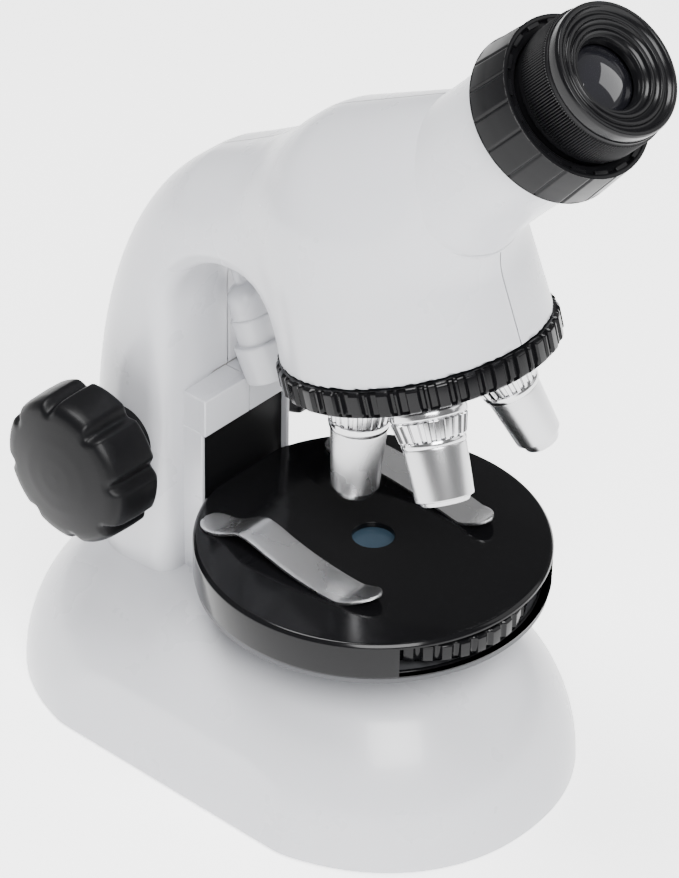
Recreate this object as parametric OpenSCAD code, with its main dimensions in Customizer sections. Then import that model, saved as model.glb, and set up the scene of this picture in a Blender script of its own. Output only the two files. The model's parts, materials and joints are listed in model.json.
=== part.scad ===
// Student microscope: a domed base with batteries and a lamp, a C-shaped arm in two halves,
// a tilted three-objective turret, an inclined zoom eyepiece and a rack-focused stage.
// The origin is the centre of the footprint on the table, the user sits at -Y, and X is the width.

/* [Base] */
// Half of the width across the flat sides of the base
base_half = 46.5; // [44:0.5:50]
// Half of the width of the outline before the flat sides are cut
base_full = 48; // [46.5:0.5:50]
// Height of the flat top that the arm stands on
base_top = 38; // [34:1:42]
// Radius of the curve from the sides of the base up to its top
base_dome = 44.5; // [42:0.5:60]
// Wall of the base and the arm
wall = 2.2; // [1.6:0.1:2.6]

/* [Stage] */
// Radius of the round stage
stage_r = 42; // [38:0.5:42]
// Height of the stage's top face
stage_z = 61.2; // [60.5:0.1:62]
// Height of the stage's rim
stage_h = 9.7; // [9:0.1:10]
// Radius of the viewing hole
hole_r = 5; // [3:0.5:5]
// Travel of the stage up and down from its middle position
stage_travel = 7; // [3:1:7]

/* [Arm] */
// Half of the arm's width
arm_half = 22; // [21:0.5:23]
// Radius of the throat between the column and the head
throat_r = 20; // [18:0.5:20]

/* [Turret] */
// Tilt of the turret's axis from upright
turret_tilt = 17.2; // [16.8:0.1:17.6]
// Radius of the scalloped turret ring
turret_r = 32.2; // [31:0.1:33]
// Height of the turret ring
turret_h = 6.3; // [5:0.1:6.3]
// Turn of the turret past the click of the high-power objective
turret_turn = 11.5; // [-30:0.5:30]
// Number of grip scallops on the turret ring
turret_grips = 36; // [24:1:48]

/* [Eyepiece] */
// Tilt of the eyepiece from upright
eye_tilt = 43.7; // [43:0.1:45]
// Radius of the eyepiece tube
tube_r = 16.3; // [15.8:0.1:16.3]
// Radius of the zoom ring at its lower edge
zoom_r = 19.4; // [18:0.1:20]
// Radius of the knurled eyepiece barrel
barrel_r = 15.6; // [15.2:0.1:15.8]

/* [Focus] */
// Radius of the focus knobs
knob_r = 18.7; // [16:0.1:20]
// Thickness of each focus knob
knob_w = 15.2; // [12:0.1:18]
// Number of grip flutes on each knob
knob_flutes = 8; // [6:1:12]
// Teeth of the focus pinion, of module 1 mm
pinion_teeth = 12; // [12:1:12]

/* [Hidden] */

$fn = 72;
eps = 0.01;
gap = 0.3;
// Y of the stage's centre; every part is drawn around the stage's axis and moved here at the end
stage_y = -11.94;

// Base outline: two half ovals joined by straight sides
front_y = 3.4;
front_len = 53.9;
rear_y = 40;
rear_len = 55.6;
front_pow = 2.14;
rear_pow = 2.3;
outline_steps = 24;
rim_z = 0.8;
cover_z = 1.4;
cover_t = 2;
foot_r = 6;
foot_spots = [[-30, -18], [30, -18], [-30, 66], [30, 66]];
screw_spots = [[-35, 8], [35, 8], [-35, 58], [35, 58]];
bay_w = 36;
bay_y0 = 27;
bay_y1 = 83;
bay_z = 20;
cell_r = 7.1;
cell_len = 49.5;
cell_x = 7.6;
cell_z = 11.2;
optic_y = 2;
lamp_hole_r = 8;
stem_r = 2.2;
carrier_t = 2.2;
pivot_r = 2.95;
switch_y = 45;
switch_z = 8.5;

// Arm, in the Y-Z plane
column_front = 46;
column_back = 81.5;
throat_y = column_front - throat_r;
throat_z = 111;
crown = [[22, 159.5], [0, 159.5], [0, 120]];
guide_half = 15.3;
guide_wall = 1;
guide_front = 40;
cap_front = 38.9;
cap_z0 = 78;
cap_z1 = 88;
channel_back = 46;
shaft_y = 58.1;
shaft_z = 73.3;
shaft_r = 3;
bush_r = 4.6;
boss_r = 4;
arm_bosses = [[66, 50], [68, 106], [47, 138], [21, 150]];
mirror_boss = [4.2, 141.9];

// Head and turret
turret_y = -12.9;
turret_z = 116.2;
apex_h = (optic_y - turret_y) / sin(turret_tilt);
head_z0 = turret_h + gap;
head_z1 = 46;
head_r0 = 30.8;
head_r1 = 27.4;
dome_top = 60;
// Objectives: distances from the turret's apex to the end of the collar, the barrel and the nose
collar_top = 58.3;
obj_phi = [0, 120, -120];
obj_collar_end = [70.7, 66.1, 68.5];
obj_barrel_end = [86.8, 78, 82.4];
obj_nose_end = [88.7, 79.1, 84.6];
obj_r = [[6.6, 5.6], [7.1, 6.6], [6.4, 5.5]];
obj_collar_r = [[8.6, 7], [8.7, 7.2], [8.6, 6.9]];

// Eyepiece axis, from the rear edge of the zoom ring
eye_y = -43.55;
eye_z = 189.2;
tube_bore = 14.4;
tube_s0 = -29;
tube_s1 = 9.5;
zoom_len = 11.4;
neck_s0 = -41;
neck_s1 = -23;
neck_r0 = 24.6;

// Stage parts
rim_t = 2.5;
top_t = 2.5;
wheel_x = -3;
wheel_y = -16.5;
wheel_r = 25.3;
wheel_z = 53.4;
wheel_h = 5;
aperture_at = norm([wheel_x, wheel_y - optic_y]);
apertures = [0.8, 1.2, 1.7, 2.2, 2.6, 3];
clip_x = 22;
clip_y = 29;
pinion_r = pinion_teeth / 2;
rack_pitch_y = shaft_y - pinion_r;
// Wall left in front of the rack's upper end, over the cap
rack_skin = 0.8;
slider_back = 45.6;

// --- frames of reference -------------------------------------------------------------------

// Moves a part from the stage's axis to the object's origin
module placed() { translate([0, stage_y, 0]) children(); }

// Turret frame: its Z is the turret's axis, and 0 is the lower edge of the ring
module at_turret() { translate([0, turret_y, turret_z]) rotate([-turret_tilt, 0, 0]) children(); }

// Eyepiece frame: its Z runs up the tube towards the eye
module at_eye(s = 0) {
    translate([0, eye_y, eye_z]) rotate([eye_tilt, 0, 0]) translate([0, 0, s]) children();
}

// One objective's own frame: its Z points up to the apex, and 0 lies t below the apex
module at_objective(i, t) {
    at_turret() rotate([0, 0, turret_turn + obj_phi[i]]) translate([0, 0, apex_h])
        rotate([turret_tilt, 0, 0]) translate([0, 0, -t]) children();
}

// Turns a drawing of the Y-Z plane into a slab along X
module slab(x0, x1) {
    translate([x0, 0, 0]) rotate([90, 0, 90]) linear_extrude(x1 - x0) children();
}

// A cylinder along X
module x_rod(y, z, r, x0, x1) {
    translate([x0, y, z]) rotate([0, 90, 0]) cylinder(r = r, h = x1 - x0);
}

module box(x0, x1, y0, y1, z0, z1) {
    translate([x0, y0, z0]) cube([x1 - x0, y1 - y0, z1 - z0]);
}

module ring(r_out, r_in, h) {
    difference() {
        cylinder(r = r_out, h = h);
        translate([0, 0, -1]) cylinder(r = r_in, h = h + 2);
    }
}

// --- base ----------------------------------------------------------------------------------

function sgn_pow(v, p) = sign(v) * pow(abs(v), p);

function half_oval(cy, len, p, inset, a0, a1) =
    [for (i = [0:outline_steps]) let (a = a0 + (a1 - a0) * i / outline_steps)
        [(base_full - inset) * sgn_pow(cos(a), 2 / p),
         cy + (len - inset) * sgn_pow(sin(a), 2 / p)]];

function base_outline(inset) =
    concat(half_oval(rear_y, rear_len, rear_pow, inset, 0, 180),
           half_oval(front_y, front_len, front_pow, inset, 180, 360));

function dome_inset(z) = base_dome - sqrt(base_dome * base_dome - z * z);

// The base's outer form, shrunk by d on every side but the bottom
module base_form(d, z0) {
    top = base_top - d;
    levels = [for (k = [0:6]) z0 + (top - z0) * (1 - pow(1 - k / 6, 1.5))];
    intersection() {
        hull() for (z = levels)
            translate([0, 0, z - eps]) linear_extrude(eps)
                polygon(base_outline(d + dome_inset(z + d)));
        box(-base_half + d, base_half - d, -70, 110, -1, base_top + 1);
    }
    box(-arm_half + d, arm_half - d, column_front + d, column_back - d, 22, top);
}

module base_shell() {
    color("white") placed() {
        difference() {
            base_form(0, rim_z + eps);
            difference() {
                base_form(wall, rim_z - 0.5);
                for (p = screw_spots) translate([p[0], p[1], cover_z + cover_t + 0.2])
                    cylinder(r = boss_r, h = 40);
            }
            for (p = screw_spots) translate([p[0], p[1], 0]) cylinder(r = 1.1, h = 16);
            translate([0, optic_y, 30]) cylinder(r = lamp_hole_r, h = 12);
            for (s = [-1, 1]) translate([s * 12, 64, 30]) cylinder(r = 1.7, h = 12);
            box(40, 50, switch_y - 5.5, switch_y + 5.5, switch_z - 2.2, switch_z + 2.2);
        }
    }
}

module base_cover() {
    color("gainsboro") placed() difference() {
        intersection() {
            translate([0, 0, cover_z]) linear_extrude(cover_t) polygon(base_outline(wall + 0.6));
            box(-base_half + wall + 0.5, base_half - wall - 0.5, -70, 110, 0, 10);
        }
        box(-bay_w / 2 + 2.5, bay_w / 2 - 2.5, bay_y0 + 2.5, bay_y1 - 2.5, 0, 5);
        for (p = screw_spots) translate([p[0], p[1], 0]) cylinder(r = 1.6, h = 6);
        for (p = foot_spots) translate([p[0], p[1], 0]) cylinder(r = foot_r + 0.05, h = 2);
    }
}

module rubber_feet() {
    color("dimgray") placed() for (p = foot_spots)
        translate([p[0], p[1], 0]) cylinder(r = foot_r, h = 2);
}

module screw(r_head, h_head, r, len) {
    cylinder(r = r_head, h = h_head);
    translate([0, 0, h_head - eps]) cylinder(r = r, h = len);
}

module base_screws() {
    color("silver") placed() for (p = screw_spots)
        translate([p[0], p[1], cover_z - 1.2]) screw(2.6, 1.2, 1.05, 13);
}

module battery_box() {
    color("gainsboro") placed() difference() {
        box(-bay_w / 2, bay_w / 2, bay_y0, bay_y1, cover_z + cover_t, bay_z);
        box(-bay_w / 2 + 1.5, bay_w / 2 - 1.5, bay_y0 + 1.5, bay_y1 - 1.5, 0, bay_z - 1.5);
    }
}

module batteries() {
    color("gold") placed() for (s = [-1, 1])
        translate([s * cell_x, (bay_y0 + bay_y1 - cell_len) / 2, cell_z])
            rotate([-90, 0, 0]) {
                cylinder(r = cell_r, h = cell_len);
                translate([0, 0, s > 0 ? -1.2 : cell_len - eps]) cylinder(r = 2.6, h = 1.2 + eps);
            }
}

module battery_contacts() {
    color("silver") placed() for (y = [bay_y0 + 1.5, bay_y1 - 1.9]) for (s = [-1, 1])
        box(s * cell_x - 5.5, s * cell_x + 5.5, y, y + 0.4, 5, 17);
}

module battery_door() {
    color("gainsboro") placed() difference() {
        union() {
            box(-bay_w / 2 + 2.7, bay_w / 2 - 2.7, bay_y0 + 2.7, bay_y1 - 2.7, cover_z, cover_z + cover_t);
            box(-6, 6, bay_y0 + 2.7, bay_y0 + 8, cover_z + cover_t - eps, cover_z + cover_t + 0.4);
        }
        translate([0, bay_y1 - 6.5, 0]) cylinder(r = 1.6, h = 6);
    }
}

module door_screw() {
    color("silver") placed() translate([0, bay_y1 - 6.5, cover_z - 1]) screw(2.6, 1, 1.3, 3.4);
}

module lower_lamp_bezel() {
    color("whitesmoke") placed() translate([0, optic_y, 0]) {
        translate([0, 0, base_top]) ring(10.5, 6.4, 1.4);
        translate([0, 0, base_top - 5]) ring(lamp_hole_r - 0.1, 6.4, 5 + eps);
    }
}

module lower_lamp_lens() {
    color("lightcyan") placed() translate([0, optic_y, base_top - 1]) cylinder(r = 6.35, h = 2);
}

module lower_lamp_board() {
    color("seagreen") placed() translate([0, optic_y, base_top - 7]) {
        cylinder(r = 7.9, h = 1.6);
        cylinder(r = 2.5, h = 4.5);
    }
}

module switch_body() {
    color("dimgray") placed() difference() {
        box(37, 42.8, switch_y - 7, switch_y + 7, switch_z - 3.5, switch_z + 3.5);
        box(39.5, 50, switch_y - 5, switch_y + 5, switch_z - 2, switch_z + 2);
    }
}

module switch_slider() {
    color("dimgray") placed()
        box(39.8, base_half - 0.3, switch_y - 4.7, switch_y - 0.7, switch_z - 1.7, switch_z + 1.7);
}

// --- arm -----------------------------------------------------------------------------------

function bezier(p, t) =
    pow(1 - t, 3) * p[0] + 3 * t * pow(1 - t, 2) * p[1] + 3 * t * t * (1 - t) * p[2] + pow(t, 3) * p[3];

// Side outline of the column and the arm over the throat, shrunk by d
module arm_outline(d) {
    back = [[column_back - d, 45], [82.5 - d, 95], [70 - 0.85 * d, 133 - 0.5 * d],
            [46.7 - 0.55 * d, 147.7 - 0.85 * d]];
    difference() {
        polygon(concat([[0, base_top + d], [column_back - d, base_top + d]],
                       [for (k = [0:14]) bezier(back, k / 14)],
                       [for (c = crown) c - [0, d]]));
        translate([throat_y, throat_z]) circle(r = throat_r + d, $fn = 96);
        translate([-1, 0]) square([1 + column_front + d, throat_z]);
    }
}

// The head: a cone with a round top, and the neck that carries the eyepiece tube
module head_form(d) {
    cap_h = dome_top - head_z1;
    cap_r = (head_r1 * head_r1 + cap_h * cap_h) / (2 * cap_h);
    cap_a = asin(head_r1 / cap_r);
    at_turret() rotate_extrude()
        polygon(concat([[0, head_z0 - d / 2], [head_r0 - d, head_z0 - d / 2]],
                       [for (k = [0:6]) let (a = cap_a * (1 - k / 6))
                           [(head_r1 - d) * sin(a) / sin(cap_a), dome_top - d - cap_r * (1 - cos(a))]]));
    at_eye(neck_s0) rotate_extrude()
        polygon([[0, -9], [neck_r0 - d, -9], [neck_r0 - d, 0],
                 [tube_r + 1.5, neck_s1 - neck_s0 - 2.2 * d], [0, neck_s1 - neck_s0 - 2.2 * d]]);
}

module arm_form(d) {
    slab(-arm_half + d, arm_half - d) arm_outline(d);
    head_form(d);
}

// The rails in front of the column that hold the stage's slider, with the cap over them
module guide_form() {
    box(-guide_half, guide_half, guide_front, column_front + wall, base_top, cap_z1);
    box(-guide_half, guide_half, cap_front, guide_front + 1, cap_z0, cap_z1);
}

module arm_cuts() {
    x0 = guide_half - guide_wall;
    box(-x0, x0, cap_front + 1.9, channel_back, base_top - 1, cap_z1 - 1);
    box(-x0, x0, 30, channel_back, base_top - 1, cap_z0);
    box(-5, 5, channel_back - 1, channel_back + 5, base_top + 10, cap_z1 - 0.5);
    box(-5, 5, channel_back + rack_skin, channel_back + 5, cap_z1 - 1, cap_z1 + 10);
    x_rod(shaft_y, shaft_z, bush_r, -40, 40);
    at_eye(tube_s0 - 12) cylinder(r = tube_r - 1.8, h = 60);
    at_eye(tube_s0) cylinder(r = tube_r, h = 60);
    at_turret() translate([0, 0, head_z0 - 2]) cylinder(r = head_r0 - wall - 0.4, h = 5);
    at_turret() translate([0, 0, head_z0 + 1]) cylinder(r = head_r0 - 1.2, h = carrier_t);
    at_turret() translate([0, 0, head_z0 - 30]) cylinder(r = turret_r + 0.6, h = 30);
    at_lamp(18) cylinder(r = stem_r, h = 22);
    for (s = [-1, 1]) translate([s * 12, 64, base_top - 1]) cylinder(r = 1.7, h = 6);
    x_rod(mirror_boss[0], mirror_boss[1], 2, -24, 24);
}

module arm_half_shell(side) {
    x0 = side > 0 ? 0.05 : -60;
    intersection() {
        difference() {
            union() {
                difference() {
                    arm_form(0);
                    arm_form(wall);
                }
                guide_form();
                intersection() {
                    union() {
                        for (p = arm_bosses) x_rod(p[0], p[1], boss_r, -arm_half, arm_half);
                        for (s = [-1, 1])
                            x_rod(mirror_boss[0], mirror_boss[1], boss_r, s * 22 - 5, s * 22 + 5);
                    }
                    arm_form(wall / 2);
                }
            }
            arm_cuts();
            for (p = arm_bosses) {
                x_rod(p[0], p[1], 1.1, -15, 1);
                x_rod(p[0], p[1], 1.6, 0, 20);
                x_rod(p[0], p[1], 3.1, 15, 40);
            }
        }
        box(x0, x0 + 59.95, -150, 150, -10, 300);
    }
}

module arm_left_shell() { color("white") placed() arm_half_shell(-1); }
module arm_right_shell() { color("white") placed() arm_half_shell(1); }

module arm_screws() {
    color("silver") placed() for (p = arm_bosses)
        translate([15 + 1.8, p[0], p[1]]) rotate([0, -90, 0]) screw(2.8, 1.8, 1.05, 26);
}

// Screws that pull the column down on the base, with their nuts inside the column
module column_screws() {
    color("silver") placed() for (s = [-1, 1]) translate([s * 12, 64, base_top - wall - 1.6]) {
        screw(3.2, 1.6, 1.55, 9);
        translate([0, 0, 1.6 + 2 * wall]) ring(4.5, 1.5, 4);
    }
}

module shaft_bushes() {
    color("dimgray") placed() for (s = [0, 1]) mirror([s, 0, 0])
        translate([-29.4, shaft_y, shaft_z]) rotate([0, 90, 0]) {
            ring(8, shaft_r + 0.05, 29.4 - arm_half);
            ring(bush_r, shaft_r + 0.05, 29.4 - arm_half + 4);
        }
}

// Lamp frame: its Z runs up the lamp from the mouth into the wall of the throat
module at_lamp(s = 0) {
    translate([0, 32.5, 90.5]) rotate([-22.8, 0, 0]) translate([0, 0, s]) children();
}

module top_lamp_housing() {
    color("white") placed() difference() {
        union() {
            at_lamp() cylinder(r = 5.4, h = 9.5);
            at_lamp() cylinder(r = 4.8, h = 16);
            at_lamp() cylinder(r = 4.1, h = 22);
            at_lamp(22) sphere(r = 4.1);
            at_lamp(22) cylinder(r = stem_r, h = 13);
        }
        at_lamp(-1) cylinder(r = 4.2, h = 4);
        at_lamp(2) cylinder(r = 2.6, h = 16);
        at_lamp(10) cylinder(r = 1, h = 40);
    }
}

module top_lamp_lens() {
    color("lightcyan") placed() {
        at_lamp(0.6) cylinder(r = 4.2, h = 1.4);
        at_lamp(1.9) cylinder(r = 2.55, h = 6);
    }
}

// Plate in the head's mouth with the turret's bearing and the light's way through it
module turret_carrier() {
    color("white") placed() difference() {
        at_turret() translate([0, 0, head_z0 + 1]) {
            cylinder(r = head_r0 - 1.2, h = carrier_t);
            cylinder(r = 6, h = 9);
        }
        at_turret() cylinder(r = pivot_r, h = 40);
        translate([0, optic_y, 100]) cylinder(r = 6, h = 50);
    }
}

// Spring leaf under the carrier, whose rib drops into a notch of the turret at each click
module click_spring() {
    z = head_z0 + 1;
    color("silver") placed() at_turret() {
        translate([-2.5, -24, z - 0.4]) cube([5, 12, 0.4]);
        translate([-2.5, -24, z - 1]) rotate([0, 90, 0]) cylinder(r = 0.6, h = 5);
        translate([0, -14, z - 1.2]) cylinder(r = 1.5, h = 1);
    }
}

module at_mirror() { translate([0, optic_y, 141]) rotate([eye_tilt / 2, 0, 0]) children(); }

module mirror_holder() {
    color("dimgray") placed() at_mirror() {
        box(-15, 15, 1.4, 3.4, -13, 13);
        for (s = [-1, 1]) box(s * 12.5 - 2, s * 12.5 + 2, -2, 1.4 + eps, -13, 13);
        for (s = [-1, 1]) x_rod(2.4, 0, 2, s * 19 - 4.5, s * 19 + 4.5);
    }
}

module head_mirror() { color("lightsteelblue") placed() at_mirror() box(-10, 10, 0, 1.4, -12, 12); }

module eyepiece_tube() {
    color("white") placed() at_eye(tube_s0) ring(tube_r, tube_bore, tube_s1 - tube_s0);
}

// --- stage ---------------------------------------------------------------------------------

module slot_sector(r, a0, a1) {
    polygon(concat([[0, 0]], [for (i = [0:8]) let (a = a0 + (a1 - a0) * i / 8) [r * cos(a), r * sin(a)]]));
}

module stage_plate() {
    z0 = stage_z - stage_h;
    color("#202020") placed() difference() {
        union() {
            difference() {
                translate([0, 0, z0]) cylinder(r = stage_r, h = stage_h, $fn = 120);
                translate([0, 0, z0 - 1]) cylinder(r = stage_r - rim_t, h = stage_h - top_t + 1, $fn = 120);
            }
            for (s = [-1, 1]) translate([s * clip_x, clip_y, z0 + 0.1]) cylinder(r = 4, h = stage_h - 1);
            intersection() {
                translate([0, 0, z0]) cylinder(r = stage_r - 1, h = stage_h - 1);
                box(-14, 14, 33, 40, z0, stage_z);
            }
        }
        box(-50, 50, 39.6, 60, z0 - 1, stage_z + 1);
        translate([0, 0, z0 - 1]) cylinder(r = hole_r, h = stage_h + 2);
        translate([0, 0, z0 - 1]) cylinder(r = hole_r + 0.7, h = stage_h - top_t + 1 + 1);
        translate([0, 0, wheel_z - 0.9]) linear_extrude(stage_z - top_t - wheel_z + 0.9)
            slot_sector(60, -131, -57);
        for (s = [-1, 1]) translate([s * clip_x, clip_y, z0 - 1]) cylinder(r = 2.05, h = 20);
        for (s = [-1, 1]) translate([s * 9, 36.5, z0 - 1]) cylinder(r = 1.1, h = 8);
    }
}

module stage_underplate() {
    color("silver") placed() difference() {
        translate([0, 0, stage_z - stage_h - 1.2]) ring(stage_r - 0.4, 9, 1.2);
        box(-50, 50, 32.5, 60, 0, 100);
    }
}

module stage_window() {
    color("steelblue") placed() translate([0, 0, stage_z - top_t - 0.1]) cylinder(r = hole_r + 0.65, h = 0.9);
}

// The black plate that runs between the rails, with the arm that carries the stage
module stage_slider() {
    z0 = stage_z - stage_h;
    color("#181818") placed() difference() {
        union() {
            box(-13.9, 13.9, 41.4, slider_back, z0 - 4.5, 80);
            box(-12, 12, 33, 41.4 + eps, z0 - 4, z0);
        }
        for (s = [-1, 1]) translate([s * 9, 36.5, z0 - 6]) cylinder(r = 1.6, h = 20);
    }
}

module focus_rack() {
    n = 9;
    z0 = shaft_z - n * PI / 2;
    root_y = rack_pitch_y - 1.25;
    color("ivory") placed() {
        box(-4, 4, channel_back + rack_skin + 0.3, root_y, z0, z0 + n * PI);
        box(-4, 4, slider_back, channel_back + rack_skin + 0.4, z0, 79.5);
        slab(-4, 4) for (k = [0:n - 1]) {
            zc = shaft_z + (k - 4) * PI;
            half = PI / 4 - 0.12;
            polygon([[root_y - eps, zc - half - 1.25 * tan(20)], [rack_pitch_y + 0.9, zc - half + 0.9 * tan(20)],
                     [rack_pitch_y + 0.9, zc + half - 0.9 * tan(20)], [root_y - eps, zc + half + 1.25 * tan(20)]]);
        }
    }
}

module slider_screws() {
    z0 = stage_z - stage_h;
    color("silver") placed() for (s = [-1, 1])
        translate([s * 9, 36.5, z0 - 5.2]) screw(2.6, 1.2, 1.05, 9);
}

// One stage clip on the left: a bent strip with a round rear end, and its pivot pin
module clip_form() {
    z = stage_z + 0.35;
    t = 0.8;
    intersection() {
        slab(-clip_x - 6, -clip_x + 7) polygon([
            [clip_y + 4, z], [clip_y - 5, z], [clip_y - 10, z + 3.2], [-12, z + 0.1], [-19, z + 2.2],
            [-19, z + 2.2 + t], [-12, z + 0.1 + t], [clip_y - 10, z + 3.2 + t], [clip_y - 5, z + t],
            [clip_y + 4, z + t]]);
        translate([0, 0, stage_z]) linear_extrude(10) union() {
            translate([-clip_x, clip_y]) circle(r = 3.8);
            polygon([[-25.8, clip_y], [-26.2, 20], [-25.6, -12], [-23.4, -17.5], [-19.6, -18.9],
                     [-16.6, -16.8], [-16.4, -10], [-15.9, 18], [-18.2, clip_y]]);
        }
    }
    translate([-clip_x, clip_y, stage_z - 7]) cylinder(r = 2, h = 7.4 + t);
}

module left_stage_clip() { color("silver") placed() clip_form(); }
module right_stage_clip() { color("silver") placed() mirror([1, 0, 0]) clip_form(); }

module diaphragm_wheel() {
    color("#202020") placed() translate([wheel_x, wheel_y, wheel_z]) difference() {
        union() {
            cylinder(r = wheel_r - 1, h = 2);
            linear_extrude(wheel_h) difference() {
                circle(r = wheel_r, $fn = 120);
                circle(r = wheel_r - 2.5, $fn = 120);
                for (k = [0:35]) rotate(10 * k) translate([wheel_r + 0.5, 0]) circle(r = 1.1, $fn = 16);
            }
            cylinder(r = 4, h = wheel_h);
        }
        translate([0, 0, -1]) cylinder(r = 2.05, h = 20);
        for (k = [0:5]) rotate(atan2(optic_y - wheel_y, -wheel_x) + 60 * k)
            translate([aperture_at, 0, -1]) cylinder(r = apertures[5 - k], h = 20);
    }
}

module diaphragm_pivot() {
    color("silver") placed() translate([wheel_x, wheel_y, stage_z - stage_h]) {
        cylinder(r = 2, h = stage_h - top_t);
        cylinder(r = 3.5, h = wheel_z - stage_z + stage_h - 0.3);
    }
}

// --- focus drive ---------------------------------------------------------------------------

module focus_shaft() { color("silver") placed() x_rod(shaft_y, shaft_z, shaft_r, -41, 41); }

// Involute of a circle of radius rb at roll angle a in degrees
function involute(rb, a) = [rb * (cos(a) + a * PI / 180 * sin(a)), rb * (sin(a) - a * PI / 180 * cos(a))];
function turned(p, a) = [p[0] * cos(a) - p[1] * sin(a), p[0] * sin(a) + p[1] * cos(a)];

// One tooth of the pinion, pointing along +X
module pinion_tooth() {
    rb = pinion_r * cos(20);
    a_pitch = sqrt(pow(pinion_r / rb, 2) - 1) * 180 / PI;
    half = 90 / pinion_teeth - 1.2;
    p0 = involute(rb, a_pitch);
    lean = half + atan2(p0[1], p0[0]);
    a_tip = sqrt(pow((pinion_r + 0.9) / rb, 2) - 1) * 180 / PI;
    flank = [for (i = [0:5]) turned(involute(rb, a_tip * i / 5), -lean)];
    other = [for (i = [5:-1:0]) [flank[i][0], -flank[i][1]]];
    polygon(concat([[3.2, flank[0][1]]], flank, other, [[3.2, -flank[0][1]]]));
}

module pinion() {
    color("ivory") placed() translate([-4, shaft_y, shaft_z]) rotate([90, 0, 90]) difference() {
        linear_extrude(8) union() {
            circle(r = pinion_r - 1.25);
            for (k = [0:pinion_teeth - 1]) rotate((k + 0.5) * 360 / pinion_teeth) pinion_tooth();
        }
        translate([0, 0, -1]) cylinder(r = shaft_r, h = 10);
    }
}

// A knob with its inner face at 0 and its domed face outward along +Z
module knob_form() {
    face_r = knob_r - 1;
    bulge = 46;
    difference() {
        intersection() {
            union() {
                cylinder(r1 = knob_r, r2 = knob_r - 0.7, h = knob_w);
            }
            translate([0, 0, knob_w - bulge]) sphere(r = bulge, $fn = 160);
        }
        for (k = [0:knob_flutes - 1]) rotate(360 / knob_flutes * (k + 0.5))
            translate([knob_r + 7.2, 0, -1]) cylinder(r = 9, h = knob_w + 2, $fn = 64);
        translate([0, 0, -1]) cylinder(r = face_r - 3, h = 6);
        translate([0, 0, -1]) cylinder(r = shaft_r, h = 13);
    }
    difference() {
        cylinder(r = 6.5, h = 6);
        translate([0, 0, -1]) cylinder(r = shaft_r, h = 13);
    }
}

module left_focus_knob() {
    color("#282828") placed() translate([-29.9, shaft_y, shaft_z]) rotate([0, -90, 0]) knob_form();
}
module right_focus_knob() {
    color("#282828") placed() translate([29.9, shaft_y, shaft_z]) rotate([0, 90, 0]) knob_form();
}

// --- turret --------------------------------------------------------------------------------

module turret_ring() {
    color("#202020") placed() at_turret() difference() {
        linear_extrude(turret_h) difference() {
            circle(r = turret_r, $fn = 180);
            for (k = [0:turret_grips - 1]) rotate(360 / turret_grips * k)
                translate([turret_r + 1.2, 0]) circle(r = 1.9, $fn = 20);
        }
        translate([0, 0, -1]) cylinder(r = turret_r - 3, h = turret_h + 2);
    }
}

// The turret's domed floor, centred on the apex where the objectives' axes meet
module turret_plate() {
    color("#202020") placed() difference() {
        at_turret() {
            difference() {
                intersection() {
                    translate([0, 0, apex_h]) sphere(r = collar_top, $fn = 160);
                    translate([0, 0, -10]) cylinder(r = turret_r - 3, h = 15);
                }
                translate([0, 0, apex_h]) sphere(r = collar_top - 2.5, $fn = 160);
            }
            translate([0, 0, -6]) cylinder(r = 5.5, h = 11);
        }
        for (i = [0:2]) at_objective(i, collar_top + 5) cylinder(r = 6, h = 20);
        at_turret() translate([0, 0, -10]) cylinder(r = pivot_r + 0.05, h = 30);
    }
}

module turret_pivot() {
    color("silver") placed() at_turret() {
        translate([0, 0, apex_h - collar_top - 1.9]) cylinder(r = 5, h = 1.6);
        translate([0, 0, apex_h - collar_top - 1]) cylinder(r = pivot_r, h = 24);
    }
}

module objective_collars() {
    color("gainsboro") placed() for (i = [0:2]) at_objective(i, obj_collar_end[i]) difference() {
        union() {
            cylinder(r1 = obj_collar_r[i][1], r2 = obj_collar_r[i][0], h = obj_collar_end[i] - collar_top);
            cylinder(r = 5.95, h = obj_collar_end[i] - collar_top + 3.5);
        }
        translate([0, 0, -1]) cylinder(r = 4.5, h = 40);
    }
}

// One objective barrel with its nose ring
module objective(i) {
    len = obj_barrel_end[i] - obj_collar_end[i];
    nose = obj_nose_end[i] - obj_barrel_end[i];
    at_objective(i, obj_nose_end[i]) difference() {
        union() {
            translate([0, 0, nose]) cylinder(r1 = obj_r[i][1], r2 = obj_r[i][0], h = len);
            cylinder(r1 = obj_r[i][1] - 1.2, r2 = obj_r[i][1] - 0.2, h = nose + eps);
            cylinder(r = 4.45, h = len + nose + 4);
        }
        translate([0, 0, -1]) cylinder(r = 2.2, h = 3.1);
        translate([0, 0, 2]) cylinder(r = 3.4, h = 40);
    }
}

module high_power_objective() { color("silver") placed() objective(0); }
module low_power_objective() { color("silver") placed() objective(1); }
module mid_power_objective() { color("silver") placed() objective(2); }

module objective_lenses() {
    color("lightcyan") placed() for (i = [0:2]) at_objective(i, obj_nose_end[i] - 0.4)
        cylinder(r = 2.15, h = 1.6);
}

// --- eyepiece ------------------------------------------------------------------------------

module zoom_ring() {
    color("#202020") placed() at_eye() difference() {
        cylinder(r1 = zoom_r, r2 = zoom_r - 1, h = zoom_len);
        translate([0, 0, -1]) cylinder(r = tube_r + 0.08, h = tube_s1 + 1.4);
        translate([0, 0, -1]) cylinder(r = barrel_r - 0.6, h = 40);
        translate([0, 0, zoom_len - 1]) cylinder(r = zoom_r - 2.2, h = 3);
    }
}

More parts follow.
